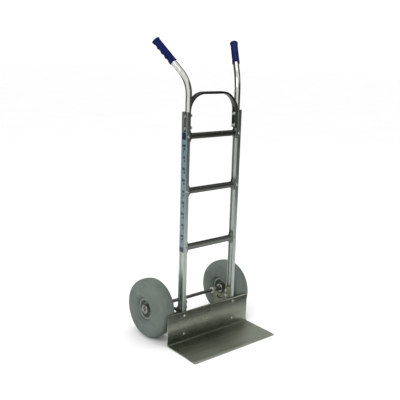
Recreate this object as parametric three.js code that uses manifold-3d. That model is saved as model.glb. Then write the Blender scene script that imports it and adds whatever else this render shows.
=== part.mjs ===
// Two-wheel hand truck: extruded aluminium side rails, three crossbars, a loop brace, two bent
// handle tubes with grips, a bent nose plate, and two flat-free wheels on a fixed axle.
// Millimetres. +X is the right side seen from the front, -Y the front (nose) side, +Z up.
import * as THREE from 'three';
import { mergeVertices } from 'three/addons/utils/BufferGeometryUtils.js';
import Module from 'manifold-3d';

const wasm = await Module();
wasm.setup();

// ---------------------------------------------------------------- driving dimensions
const GAP = 0.3; // air left between two pieces that touch on the real object

// nose plate: one sheet bent into an L, its upright leg facing the load
const NOSE_WIDTH = 457;
const NOSE_DEPTH = 187; // how far the ledge reaches forward of the upright leg
const NOSE_HEIGHT = 140;
const NOSE_SHEET = 4.8;
const NOSE_BEND = 7; // inside radius of the bend
const NOSE_TAPER = 14; // length of the thinned front edge of the ledge
const NOSE_LIP = 2.2; // thickness left at that edge

// side rails: extrusions with a half-round channel that opens inward
const RAIL_OUTER = 148.5; // outer face, measured from the middle of the truck
const RAIL_WIDTH = 18.5;
const RAIL_INNER = RAIL_OUTER - RAIL_WIDTH;
const RAIL_DEPTH = 34;
const RAIL_FRONT = NOSE_SHEET + GAP;
const RAIL_BOTTOM = 14;
const RAIL_TOP = 992;
const CHANNEL_RADIUS = 13.1;
const FRONT_LIP = 1.5; // wall between the channel and the front of the rail
const CHANNEL_Y = RAIL_FRONT + FRONT_LIP + CHANNEL_RADIUS; // centre line of the channel
const BOLT_Y = RAIL_FRONT + RAIL_DEPTH / 2; // line of the slot and of the bolts that cross the rail
const SLOT_WIDTH = 12; // shallow slot down the outer face
const SLOT_DEPTH = 2;
const SLOT_FLOOR = RAIL_OUTER - SLOT_DEPTH;

// handle tubes: one inch tube, bent back and outward
const TUBE_RADIUS = 12.7;
const TUBE_WALL = 2.2;
const TUBE_X = 131.2;
const TUBE_BOTTOM = 918;
const BEND_START = 1059;
const BEND_RADIUS = 134;
const BEND_ANGLE = THREE.MathUtils.degToRad(43);
const SPLAY_ANGLE = THREE.MathUtils.degToRad(33); // of the bend, away from straight back
const TUBE_STRAIGHT = 158; // straight length past the bend
const HANDLE_BOLT_LEVELS = { upper: 976, lower: 927 };

// grips: closed sleeves with finger hollows on the underside
const GRIP_LENGTH = 116;
const GRIP_RADIUS = 15.8;
const GRIP_COLLAR = 16.6; // at the open end
const GRIP_FLANGE = 17.8; // at the closed end
const GRIP_END_WALL = 4;
const FINGER_COUNT = 4;
const FINGER_PITCH = 24;
const FINGER_RADIUS = 15;
const FINGER_DEPTH = 2.4;

// crossbars: rectangular bars whose half-round feet sit in the rail channels
const CROSSBAR_LEVELS = { top: 894, middle: 667, bottom: 423 };
const CROSSBAR_DEPTH = 20;
const CROSSBAR_HEIGHT = 22;
const FOOT_HEIGHT = 44;

// loop brace: flat bar bent into an upside-down U, its legs set into the coped ends of the tubes
const BRACE_THICKNESS = 10;
const BRACE_OUTER = RAIL_INNER - GAP; // outer face of each leg, just inboard of the rail
const BRACE_FRONT = 15.5;
const BRACE_BACK = 37.5;
const BRACE_TOP = 1070.5;
const BRACE_BOTTOM = 917;
const BRACE_CORNER = 80; // outside radius of its shoulders

// axle, its brackets and its small parts
const AXLE_Y = 141;
const AXLE_Z = 130;
const AXLE_RADIUS = 7.95;
const AXLE_END = 10; // how far the axle stands out past each hub
const BRACKET_TOP = 186;
const BRACKET_BOTTOM = 20;
const BRACKET_WEB = 9;
const BRACKET_FRONT_INSET = 8; // from the channel's centre line forward to the flange's front edge
const BRACKET_FLANGE_INSET = 3; // the flange's back edge, forward of the back of the rail
const BRACKET_HEEL = { depth: 12, bottom: 30, top: 153 }; // the step that wraps behind the rail
const BRACKET_BOLT_LEVELS = { upper: 173, lower: 149 };
const ARM_INNER = 133; // inboard face of the arm, in line with the rail
const ARM_OUTLINE = [ // corners, back and up
  [45, 34], [80, 34], [121, 73], [129, 120], [141, 124], [141, 132], [80, 132], [60, 139], [45, 143],
];
const ARM_WINDOW = [[55, 119], [80, 105], [108, 106], [104, 122], [74, 126]]; // corners, back and up
const BOSS_RADIUS = 13.5;
const BOSS_INNER = 131; // inboard end of the axle boss
const WASHER_RADIUS = 15;
const WASHER_THICKNESS = 2;
const COTTER_RADIUS = 1.6;
const COTTER_LENGTH = 27;
const COTTER_RING = 4; // radius of its eye
const COTTER_INSET = 4; // from the washer outward
const SPACER_RADIUS = 12;

// wheels: solid foam tyres on two-piece pressed rims with a ball bearing at each end of the hub
const WHEEL_X = 216.5;
const WHEEL_RADIUS = 130;
const TYRE_HALF_WIDTH = 49;
const RIM_HALF_WIDTH = 30.5;
const RIM_FLANGE_RADIUS = 47;
const RIM_BARREL_RADIUS = 42;
const RIM_SHEET = 2.5;
const HUB_HALF_LENGTH = 36;
const HUB_RADIUS = 20;
const BEARING_RADIUS = 17.2;
const BEARING_WIDTH = 11;
const RACE_WIDTH = 2.5; // each steel ring of a bearing
const COTTER_X = WHEEL_X + HUB_HALF_LENGTH + WASHER_THICKNESS + COTTER_INSET;

// bolts
const BOLT_RADIUS = 4;
const NOSE_HEAD = { radius: 7, height: 4.6 };
const NOSE_BOLT_X = 139;
const NOSE_BOLT_LEVELS = { upper: 121, lower: 37 };
const CROSSBAR_BOLT_X = 138;
const SMALL_HEAD = { radius: 6, height: 3.6 }; // holding the crossbars
const SLOT_HEAD = { radius: 5.5, height: 2.4 }; // sunk in the slot of the rail
const THREAD_END = 1; // bolt left showing past its nut
const NUT_RADIUS = 7.2;
const NUT_HEIGHT = 6.5;

// printed strip on the outer face of one rail
const LABEL_TOP = 912;
const LABEL_BOTTOM = 404;
const LABEL_THICKNESS = 0.4;
const LABEL_MARGIN = { front: 1.5, back: 3 }; // bare metal beside the strip

// number of flat sides on round pieces
const WHEEL_SIDES = 28;
const ROUND_SIDES = 16;
const SMALL_SIDES = 10;

const CENTRE_Y = (AXLE_Y + WHEEL_RADIUS - NOSE_DEPTH) / 2; // middle of the truck, front to back

// ---------------------------------------------------------------- finishes
const FINISH = {
  rail: { color: 0xa9adab, roughness: 0.38, metalness: 1 },
  crossbar: { color: 0x8c8f8b, roughness: 0.35, metalness: 1 },
  brace: { color: 0x94978f, roughness: 0.36, metalness: 1 },
  tube: { color: 0xc3c6c2, roughness: 0.16, metalness: 1 },
  grip: { color: 0x18295a, roughness: 0.55, metalness: 0 },
  nose: { color: 0x9a9c8f, roughness: 0.3, metalness: 1 },
  casting: { color: 0x86877a, roughness: 0.6, metalness: 1 },
  steel: { color: 0xb4b4ae, roughness: 0.28, metalness: 1 },
  fastener: { color: 0xc6c7c0, roughness: 0.3, metalness: 1 },
  tyre: { color: 0x6f7a72, roughness: 0.8, metalness: 0 },
  rim: { color: 0x767d77, roughness: 0.5, metalness: 0.2 },
  bearing: { color: 0x4a4b48, roughness: 0.45, metalness: 0.8 },
  label: { color: 0x8fa3b5, roughness: 0.4, metalness: 0 },
};

// ---------------------------------------------------------------- solids and cuts

// One shared-vertex geometry without normals, texture places or empty triangles.
function welded(geometry) {
  const bare = geometry.clone();
  for (const name of ['normal', 'uv']) bare.deleteAttribute(name);
  const merged = mergeVertices(bare);
  const kept = [];
  for (let i = 0; i < merged.index.count; i += 3) {
    const [a, b, c] = [0, 1, 2].map((k) => merged.index.getX(i + k));
    if (a !== b && b !== c && c !== a) kept.push(a, b, c);
  }
  merged.setIndex(kept);
  return merged;
}

function toSolid(geometry) {
  const { attributes, index } = welded(geometry);
  const mesh = new wasm.Mesh({
    numProp: 3,
    vertProperties: new Float32Array(attributes.position.array),
    triVerts: new Uint32Array(index.array),
  });
  return new wasm.Manifold(mesh);
}

function toGeometry(solid) {
  const { vertProperties, triVerts } = solid.getMesh();
  const geometry = new THREE.BufferGeometry();
  geometry.setAttribute('position', new THREE.BufferAttribute(vertProperties, 3));
  geometry.setIndex(Array.from(triVerts));
  return geometry;
}

function cut(geometry, ...tools) {
  return toGeometry(tools.reduce((solid, tool) => solid.subtract(toSolid(tool)), toSolid(geometry)));
}

function join(...geometries) {
  return toGeometry(geometries.map(toSolid).reduce((all, solid) => all.add(solid)));
}

// The left-hand twin of a right-hand piece, or the piece itself for side +1.
function onSide(side, geometry) {
  if (side > 0) return geometry;
  const twin = welded(geometry);
  twin.scale(-1, 1, 1);
  const order = twin.index.array;
  for (let i = 0; i < order.length; i += 3) [order[i], order[i + 1]] = [order[i + 1], order[i]];
  return twin;
}

// ---------------------------------------------------------------- basic shapes
const AXIS_X = new THREE.Vector3(1, 0, 0);
const AXIS_Y = new THREE.Vector3(0, 1, 0);
const AXIS_Z = new THREE.Vector3(0, 0, 1);

function block([x0, x1], [y0, y1], [z0, z1]) {
  const geometry = new THREE.BoxGeometry(x1 - x0, y1 - y0, z1 - z0);
  return geometry.translate((x0 + x1) / 2, (y0 + y1) / 2, (z0 + z1) / 2);
}

// A cylinder from one point, along a unit direction.
function rod(start, direction, length, radius, sides = SMALL_SIDES) {
  const geometry = new THREE.CylinderGeometry(radius, radius, length, sides);
  geometry.translate(0, length / 2, 0);
  geometry.applyQuaternion(new THREE.Quaternion().setFromUnitVectors(AXIS_Y, direction));
  return geometry.translate(start.x, start.y, start.z);
}

// A turned piece: outline points are (radius, distance along +X), outward along its low end first.
function turned(outline, sides) {
  const geometry = new THREE.LatheGeometry(outline.map(([r, x]) => new THREE.Vector2(r, x)), sides);
  return geometry.applyMatrix4(new THREE.Matrix4().makeBasis(AXIS_Y, AXIS_X, AXIS_Z.clone().negate()));
}

function extrudeUp(shape, z0, z1, curveSegments = SMALL_SIDES) {
  const geometry = new THREE.ExtrudeGeometry(shape, { depth: z1 - z0, bevelEnabled: false, curveSegments });
  return geometry.translate(0, 0, z0);
}

// The shape's own axes become Y and Z.
function extrudeAcross(shape, x0, x1, curveSegments = SMALL_SIDES) {
  const geometry = extrudeUp(shape, 0, x1 - x0, curveSegments);
  geometry.applyMatrix4(new THREE.Matrix4().makeBasis(AXIS_Y, AXIS_Z, AXIS_X));
  return geometry.translate(x0, 0, 0);
}

// The shape's own axes become X and Z.
function extrudeBack(shape, y0, y1, curveSegments = SMALL_SIDES) {
  const geometry = extrudeUp(shape, 0, y1 - y0, curveSegments);
  geometry.applyMatrix4(new THREE.Matrix4().makeBasis(AXIS_X, AXIS_Z, AXIS_Y.clone().negate()));
  return geometry.translate(0, y1, 0);
}

// ---------------------------------------------------------------- the assembly
const truck = new THREE.Group();
truck.position.set(0, -CENTRE_Y, 0);

function addPart(name, geometry, finish, place) {
  const mesh = new THREE.Mesh(geometry, new THREE.MeshStandardMaterial(FINISH[finish]));
  mesh.name = name;
  if (place) mesh.position.copy(place);
  truck.add(mesh);
  return mesh;
}

const SIDES = [['left', -1], ['right', 1]];

// ---------------------------------------------------------------- bolts and nuts

// A round-headed bolt along +Y: its shank runs back from the origin, its head stands forward.
function boltGeometry(shankLength, head) {
  const outline = [
    [0, -shankLength],
    [BOLT_RADIUS, -shankLength],
    [BOLT_RADIUS, 0],
    [head.radius, 0],
    [head.radius, head.height * 0.4],
    [head.radius * 0.72, head.height],
    [0, head.height],
  ];
  return new THREE.LatheGeometry(outline.map(([r, y]) => new THREE.Vector2(r, y)), SMALL_SIDES);
}

function addBolt(name, place, headDirection, shankLength, head) {
  const mesh = addPart(name, boltGeometry(shankLength, head), 'fastener', place);
  mesh.quaternion.setFromUnitVectors(AXIS_Y, headDirection);
}

// A hexagon nut along +Y, open for its bolt.
function addNut(name, place, direction) {
  const outline = new THREE.Shape();
  for (let corner = 0; corner < 6; corner += 1) {
    const angle = (corner * Math.PI) / 3;
    const point = [NUT_RADIUS * Math.cos(angle), NUT_RADIUS * Math.sin(angle)];
    if (corner === 0) outline.moveTo(...point);
    else outline.lineTo(...point);
  }
  outline.holes.push(new THREE.Path().absarc(0, 0, BOLT_RADIUS + GAP, 0, 2 * Math.PI));
  const mesh = addPart(name, extrudeUp(outline, 0, NUT_HEIGHT, SMALL_SIDES / 2), 'fastener', place);
  mesh.quaternion.setFromUnitVectors(AXIS_Z, direction);
}

function boltHole(start, direction, length) {
  return rod(start, direction, length, BOLT_RADIUS + GAP);
}

const inward = (side) => new THREE.Vector3(-side, 0, 0);
const outward = (side) => new THREE.Vector3(side, 0, 0);
const FRONT = new THREE.Vector3(0, -1, 0);
const BACK = new THREE.Vector3(0, 1, 0);

// Bolts that cross a rail from its slot to nuts on the far side of what they hold.
function addThroughBolts(kind, levels, heldInner, label, side) {
  const shank = SLOT_FLOOR - heldInner + NUT_HEIGHT + THREAD_END;
  for (const [level, z] of Object.entries(levels)) {
    const headSeat = new THREE.Vector3(side * (SLOT_FLOOR + GAP), BOLT_Y, z);
    addBolt(`${kind}_bolt_${level}_${label}`, headSeat, outward(side), shank, SLOT_HEAD);
    const nutSeat = new THREE.Vector3(side * (heldInner - GAP), BOLT_Y, z);
    addNut(`${kind}_nut_${level}_${label}`, nutSeat, inward(side));
  }
}

// ---------------------------------------------------------------- side rails
function railShape() {
  const back = RAIL_FRONT + RAIL_DEPTH;
  const slotFront = BOLT_Y - SLOT_WIDTH / 2;
  const slotBack = BOLT_Y + SLOT_WIDTH / 2;
  const shape = new THREE.Shape();
  shape.moveTo(RAIL_INNER, RAIL_FRONT);
  shape.lineTo(RAIL_OUTER, RAIL_FRONT);
  shape.lineTo(RAIL_OUTER, slotFront);
  shape.lineTo(SLOT_FLOOR, slotFront);
  shape.lineTo(SLOT_FLOOR, slotBack);
  shape.lineTo(RAIL_OUTER, slotBack);
  shape.lineTo(RAIL_OUTER, back);
  shape.lineTo(RAIL_INNER, back);
  shape.lineTo(RAIL_INNER, CHANNEL_Y + CHANNEL_RADIUS);
  shape.lineTo(TUBE_X, CHANNEL_Y + CHANNEL_RADIUS);
  shape.absarc(TUBE_X, CHANNEL_Y, CHANNEL_RADIUS, Math.PI / 2, -Math.PI / 2, true);
  shape.lineTo(RAIL_INNER, CHANNEL_Y - CHANNEL_RADIUS);
  return shape;
}

function railGeometry() {
  const rail = extrudeUp(railShape(), RAIL_BOTTOM, RAIL_TOP, 5);
  const frontHole = (x, z) => boltHole(new THREE.Vector3(x, 0, z), BACK, CHANNEL_Y);
  const webHole = (z) => boltHole(new THREE.Vector3(TUBE_X, BOLT_Y, z), AXIS_X, RAIL_WIDTH);
  return cut(
    rail,
    ...Object.values(CROSSBAR_LEVELS).map((z) => frontHole(CROSSBAR_BOLT_X, z)),
    ...Object.values(NOSE_BOLT_LEVELS).map((z) => frontHole(NOSE_BOLT_X, z)),
    ...Object.values(HANDLE_BOLT_LEVELS).map(webHole),
    ...Object.values(BRACKET_BOLT_LEVELS).map(webHole),
  );
}

// ---------------------------------------------------------------- crossbars
function addCrossbar(level, z) {
  const halfFoot = FOOT_HEIGHT / 2;
  const bolt = (side) => new THREE.Vector3(side * CROSSBAR_BOLT_X, RAIL_FRONT, z);
  const foot = (side) => {
    const base = new THREE.Vector3(side * TUBE_X, CHANNEL_Y, z - halfFoot);
    return rod(base, AXIS_Z, FOOT_HEIGHT, TUBE_RADIUS, ROUND_SIDES);
  };
  const bar = block(
    [-TUBE_X, TUBE_X],
    [CHANNEL_Y - CROSSBAR_DEPTH / 2, CHANNEL_Y + CROSSBAR_DEPTH / 2],
    [z - CROSSBAR_HEIGHT / 2, z + CROSSBAR_HEIGHT / 2],
  );
  const whole = join(bar, foot(-1), foot(1));
  const holeLength = CHANNEL_Y - RAIL_FRONT;
  const drilled = cut(whole, boltHole(bolt(-1), BACK, holeLength), boltHole(bolt(1), BACK, holeLength));
  addPart(`crossbar_${level}`, drilled, 'crossbar');
  for (const [label, side] of SIDES) {
    const seat = bolt(side).addScaledVector(FRONT, GAP);
    addBolt(`crossbar_bolt_${level}_${label}`, seat, FRONT, holeLength - GAP, SMALL_HEAD);
  }
}

// ---------------------------------------------------------------- loop brace

// The area under one face of the bent bar, from the face's half width outward of the middle.
function archShape(halfWidth) {
  const radius = BRACE_CORNER + halfWidth - BRACE_OUTER;
  const centre = halfWidth - radius;
  const bend = BRACE_TOP - BRACE_CORNER; // height of both corner centres
  const shape = new THREE.Shape();
  shape.moveTo(halfWidth, BRACE_BOTTOM);
  shape.lineTo(halfWidth, bend);
  shape.absarc(centre, bend, radius, 0, Math.PI / 2, false);
  shape.absarc(-centre, bend, radius, Math.PI / 2, Math.PI, false);
  shape.lineTo(-halfWidth, BRACE_BOTTOM);
  return shape;
}

function braceGeometry() {
  const solid = (halfWidth, margin) =>
    extrudeBack(archShape(halfWidth), BRACE_FRONT - margin, BRACE_BACK + margin, 8);
  const across = (z) => boltHole(new THREE.Vector3(-RAIL_OUTER, BOLT_Y, z), AXIS_X, 2 * RAIL_OUTER);
  return cut(
    solid(BRACE_OUTER, 0),
    solid(BRACE_OUTER - BRACE_THICKNESS, 1),
    ...Object.values(HANDLE_BOLT_LEVELS).map(across),
  );
}

// ---------------------------------------------------------------- handle tubes and grips

// Where the tube runs: straight up out of the rail, round the bend, and on to its end.
function handlePath() {
  const tilt = new THREE.Vector3(Math.sin(SPLAY_ANGLE), Math.cos(SPLAY_ANGLE), 0);
  const foot = new THREE.Vector3(TUBE_X, CHANNEL_Y, TUBE_BOTTOM);
  const start = new THREE.Vector3(TUBE_X, CHANNEL_Y, BEND_START);
  const bendPoint = (angle) => start.clone()
    .addScaledVector(tilt, BEND_RADIUS * (1 - Math.cos(angle)))
    .addScaledVector(AXIS_Z, BEND_RADIUS * Math.sin(angle));
  class Bend extends THREE.Curve {
    getPoint(t, target = new THREE.Vector3()) {
      return target.copy(bendPoint(t * BEND_ANGLE));
    }
  }
  const direction = tilt.clone().multiplyScalar(Math.sin(BEND_ANGLE));
  direction.addScaledVector(AXIS_Z, Math.cos(BEND_ANGLE));
  const straightStart = bendPoint(BEND_ANGLE);
  const end = straightStart.clone().addScaledVector(direction, TUBE_STRAIGHT);
  const path = new THREE.CurvePath();
  path.add(new THREE.LineCurve3(foot, start));
  path.add(new Bend());
  path.add(new THREE.LineCurve3(straightStart, end));
  const underside = tilt.clone().multiplyScalar(Math.cos(BEND_ANGLE));
  underside.addScaledVector(AXIS_Z, -Math.sin(BEND_ANGLE));
  return { path, direction, underside, end };
}

const handle = handlePath();

function tubeGeometry() {
  const ring = new THREE.Shape().absarc(0, 0, TUBE_RADIUS, 0, 2 * Math.PI);
  ring.holes.push(new THREE.Path().absarc(0, 0, TUBE_RADIUS - TUBE_WALL, 0, 2 * Math.PI));
  const tube = new THREE.ExtrudeGeometry(ring, { steps: 17, curveSegments: 6, extrudePath: handle.path });
  const reach = 2 * TUBE_RADIUS;
  const cope = extrudeBack(archShape(BRACE_OUTER + GAP), CHANNEL_Y - reach, CHANNEL_Y + reach, 8);
  const across = (z) => boltHole(new THREE.Vector3(TUBE_X, BOLT_Y, z), AXIS_X, RAIL_WIDTH);
  return cut(tube, cope, ...Object.values(HANDLE_BOLT_LEVELS).map(across));
}

function gripGeometry() {
  const bore = TUBE_RADIUS + GAP;
  const boreEnd = GRIP_LENGTH - GRIP_END_WALL;
  const outline = [
    [0, boreEnd],
    [bore, boreEnd],
    [bore, 0],
    [GRIP_COLLAR, 0],
    [GRIP_COLLAR, 5],
    [GRIP_RADIUS, 8],
    [GRIP_RADIUS, GRIP_LENGTH - 9],
    [GRIP_FLANGE, GRIP_LENGTH - 6],
    [GRIP_FLANGE, GRIP_LENGTH - 2],
    [GRIP_FLANGE - 2, GRIP_LENGTH],
    [0, GRIP_LENGTH],
  ];
  const sleeve = new THREE.LatheGeometry(outline.map(([r, y]) => new THREE.Vector2(r, y)), ROUND_SIDES);
  const grip = toSolid(sleeve);
  const firstFinger = (GRIP_LENGTH - (FINGER_COUNT - 1) * FINGER_PITCH) / 2;
  const fingers = Array.from({ length: FINGER_COUNT }, (_, i) => {
    const height = firstFinger + i * FINGER_PITCH;
    const centre = GRIP_RADIUS + FINGER_RADIUS - FINGER_DEPTH;
    return rod(new THREE.Vector3(centre, height, -30), AXIS_Z, 60, FINGER_RADIUS, ROUND_SIDES);
  });
  const shaped = toGeometry(fingers.reduce((solid, tool) => solid.subtract(toSolid(tool)), grip));
  const side = new THREE.Vector3().crossVectors(handle.underside, handle.direction);
  shaped.applyMatrix4(new THREE.Matrix4().makeBasis(handle.underside, handle.direction, side));
  const open = handle.end.clone().addScaledVector(handle.direction, GAP - boreEnd);
  return shaped.translate(open.x, open.y, open.z);
}

// ---------------------------------------------------------------- nose plate
function noseGeometry() {
  const outside = NOSE_BEND + NOSE_SHEET;
  const shape = new THREE.Shape();
  shape.moveTo(-NOSE_DEPTH, 0);
  shape.lineTo(NOSE_SHEET - outside, 0);
  shape.absarc(NOSE_SHEET - outside, outside, outside, -Math.PI / 2, 0, false);
  shape.lineTo(NOSE_SHEET, NOSE_HEIGHT);
  shape.lineTo(0, NOSE_HEIGHT);
  shape.lineTo(0, outside);
  shape.absarc(-NOSE_BEND, outside, NOSE_BEND, 0, -Math.PI / 2, true);
  shape.lineTo(NOSE_TAPER - NOSE_DEPTH, NOSE_SHEET);
  shape.lineTo(-NOSE_DEPTH, NOSE_LIP);
  const sheet = extrudeAcross(shape, -NOSE_WIDTH / 2, NOSE_WIDTH / 2, 6);
  const holes = SIDES.flatMap(([, side]) => Object.values(NOSE_BOLT_LEVELS).map((z) => {
    const start = new THREE.Vector3(side * NOSE_BOLT_X, -NOSE_SHEET, z);
    return boltHole(start, BACK, 3 * NOSE_SHEET);
  }));
  return cut(sheet, ...holes);
}

// ---------------------------------------------------------------- axle brackets

// A casting: a half-round pad in the rail channel, a flange on the inner side of the rail, a heel
// behind the rail, and an arm in line with the rail back to the axle boss.
function bracketGeometry() {
  const flangeOuter = RAIL_INNER - GAP;
  const flangeInner = flangeOuter - BRACKET_WEB;
  const armOuter = ARM_INNER + BRACKET_WEB;
  const railBack = RAIL_FRONT + RAIL_DEPTH;
  const heelFront = railBack + GAP;
  const heelBack = heelFront + BRACKET_HEEL.depth;
  const heelLevels = [BRACKET_HEEL.bottom, BRACKET_HEEL.top];
  const flangeFront = CHANNEL_Y - BRACKET_FRONT_INSET;
  const flangeBack = railBack - BRACKET_FLANGE_INSET;
  const flange = block([flangeInner, flangeOuter], [flangeFront, flangeBack], [BRACKET_BOTTOM, BRACKET_TOP]);
  const heelSide = block([flangeInner, flangeOuter], [flangeBack - 1, heelBack], heelLevels);
  const heel = block([flangeInner, armOuter], [heelFront, heelBack], heelLevels);
  const outline = new THREE.Shape(ARM_OUTLINE.map(([y, z]) => new THREE.Vector2(y, z)));
  outline.holes.push(new THREE.Path(ARM_WINDOW.map(([y, z]) => new THREE.Vector2(y, z))));
  const arm = extrudeAcross(outline, ARM_INNER, armOuter);
  const pad = rod(new THREE.Vector3(TUBE_X, CHANNEL_Y, BRACKET_BOTTOM), AXIS_Z,
    BRACKET_TOP - BRACKET_BOTTOM, TUBE_RADIUS, ROUND_SIDES);
  const boss = rod(new THREE.Vector3(BOSS_INNER, AXLE_Y, AXLE_Z), AXIS_X,
    RAIL_OUTER - BOSS_INNER, BOSS_RADIUS, ROUND_SIDES);
  const inside = new THREE.Vector3(BOSS_INNER - 1, AXLE_Y, AXLE_Z);
  const holeLength = RAIL_WIDTH + RAIL_OUTER - BOSS_INNER;
  const axleHole = rod(inside, AXIS_X, holeLength, AXLE_RADIUS + GAP, ROUND_SIDES);
  const through = (z) => boltHole(new THREE.Vector3(flangeInner - 1, BOLT_Y, z), AXIS_X, 2 * RAIL_WIDTH);
  const tapped = (z) => boltHole(new THREE.Vector3(NOSE_BOLT_X, RAIL_FRONT, z), BACK, CHANNEL_Y);
  return cut(
    join(flange, heelSide, heel, arm, pad, boss),
    axleHole,
    block([0, flangeInner], [0, CHANNEL_Y + TUBE_RADIUS + 1], [0, BRACKET_TOP + 1]),
    ...Object.values(BRACKET_BOLT_LEVELS).map(through),
    ...Object.values(NOSE_BOLT_LEVELS).map(tapped),
  );
}

// ---------------------------------------------------------------- axle
function axleGeometry() {
  const half = WHEEL_X + HUB_HALF_LENGTH + AXLE_END;
  const bar = rod(new THREE.Vector3(-half, AXLE_Y, AXLE_Z), AXIS_X, 2 * half, AXLE_RADIUS, ROUND_SIDES);
  const pinHole = (side) => rod(new THREE.Vector3(side * COTTER_X, AXLE_Y, AXLE_Z - 20), AXIS_Z, 40,
    COTTER_RADIUS + GAP);
  return cut(bar, pinHole(-1), pinHole(1));
}

// A split pin drawn as one pin with a ring at its top.
function cotterGeometry() {
  const top = COTTER_LENGTH / 2;
  const pin = rod(new THREE.Vector3(0, 0, -top), AXIS_Z, COTTER_LENGTH, COTTER_RADIUS, 6);
  const ring = new THREE.TorusGeometry(COTTER_RING, COTTER_RADIUS, 6, SMALL_SIDES);
  ring.rotateY(Math.PI / 2);
  return join(pin, ring.translate(0, 0, top + COTTER_RING - 1));
}

// A flat ring or sleeve round the axle, from its inboard end outward.
function sleeveGeometry(outerRadius, length) {
  const bore = AXLE_RADIUS + GAP;
  const profile = [[bore, 0], [outerRadius, 0], [outerRadius, length], [bore, length], [bore, 0]];
  return turned(profile, ROUND_SIDES);
}

// ---------------------------------------------------------------- wheels

// Half of a pressed rim: a disc at the middle of the wheel, a barrel and a flange.
function rimGeometry() {
  const face = GAP / 2;
  const bore = HUB_RADIUS + GAP;
  const flange = RIM_HALF_WIDTH - RIM_SHEET;
  const inside = RIM_BARREL_RADIUS - RIM_SHEET;
  return turned([
    [bore, face],
    [RIM_BARREL_RADIUS, face],
    [RIM_BARREL_RADIUS, flange],
    [RIM_FLANGE_RADIUS, flange],
    [RIM_FLANGE_RADIUS, RIM_HALF_WIDTH],
    [inside, RIM_HALF_WIDTH],
    [inside, face + RIM_SHEET],
    [bore, face + RIM_SHEET],
    [bore, face],
  ], WHEEL_SIDES);
}

// A solid foam ring whose section is a rounded square, seated on the rim.
function tyreGeometry() {
  const SQUARENESS = 2.6;
  const STEPS = 14;
  const bead = RIM_FLANGE_RADIUS + 0.4;
  const seat = RIM_BARREL_RADIUS + 0.4;
  const middle = (WHEEL_RADIUS + seat) / 2;
  const reach = WHEEL_RADIUS - middle;
  const rounded = (value) => Math.sign(value) * Math.abs(value) ** (2 / SQUARENESS);
  const startAngle = -Math.asin(((middle - bead) / reach) ** (SQUARENESS / 2));
  const beadFace = RIM_HALF_WIDTH - RIM_SHEET - GAP;
  const outline = [[seat, -beadFace], [bead, -beadFace]];
  for (let step = 0; step <= STEPS; step += 1) {
    const angle = startAngle + ((Math.PI - 2 * startAngle) * step) / STEPS;
    outline.push([
      middle + reach * rounded(Math.sin(angle)),
      -TYRE_HALF_WIDTH * rounded(Math.cos(angle)),
    ]);
  }
  outline.push([bead, beadFace], [seat, beadFace]);
  outline.push(outline[0]);
  return turned(outline, WHEEL_SIDES);
}

// The hub: a turned tube, counterbored at both ends for the bearings.
function hubGeometry() {
  const seat = BEARING_RADIUS + GAP;
  const shoulder = HUB_HALF_LENGTH - BEARING_WIDTH - GAP;
  const middle = BEARING_RADIUS - 3;
  return turned([
    [seat, -HUB_HALF_LENGTH],
    [HUB_RADIUS, -HUB_HALF_LENGTH],
    [HUB_RADIUS, HUB_HALF_LENGTH],
    [seat, HUB_HALF_LENGTH],
    [seat, shoulder],
    [middle, shoulder],
    [middle, -shoulder],
    [seat, -shoulder],
    [seat, -HUB_HALF_LENGTH],
  ], ROUND_SIDES);
}

function bearingGeometry() {
  const bore = AXLE_RADIUS + GAP;
  const seal = BEARING_WIDTH - 1;
  return turned([
    [bore, 0],
    [BEARING_RADIUS, 0],
    [BEARING_RADIUS, BEARING_WIDTH],
    [BEARING_RADIUS - RACE_WIDTH, BEARING_WIDTH],
    [BEARING_RADIUS - RACE_WIDTH, seal],
    [bore + RACE_WIDTH, seal],
    [bore + RACE_WIDTH, BEARING_WIDTH],
    [bore, BEARING_WIDTH],
    [bore, 0],
  ], ROUND_SIDES);
}

function addWheel(label, side) {
  const centre = new THREE.Vector3(side * WHEEL_X, AXLE_Y, AXLE_Z);
  const bearingStart = HUB_HALF_LENGTH - BEARING_WIDTH;
  const bearing = bearingGeometry().translate(bearingStart, 0, 0);
  addPart(`tyre_${label}`, tyreGeometry(), 'tyre', centre);
  addPart(`rim_outer_${label}`, onSide(side, rimGeometry()), 'rim', centre);
  addPart(`rim_inner_${label}`, onSide(-side, rimGeometry()), 'rim', centre);
  addPart(`hub_${label}`, hubGeometry(), 'steel', centre);
  addPart(`bearing_outer_${label}`, onSide(side, bearing), 'bearing', centre);
  addPart(`bearing_inner_${label}`, onSide(-side, bearing), 'bearing', centre);
}

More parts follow.
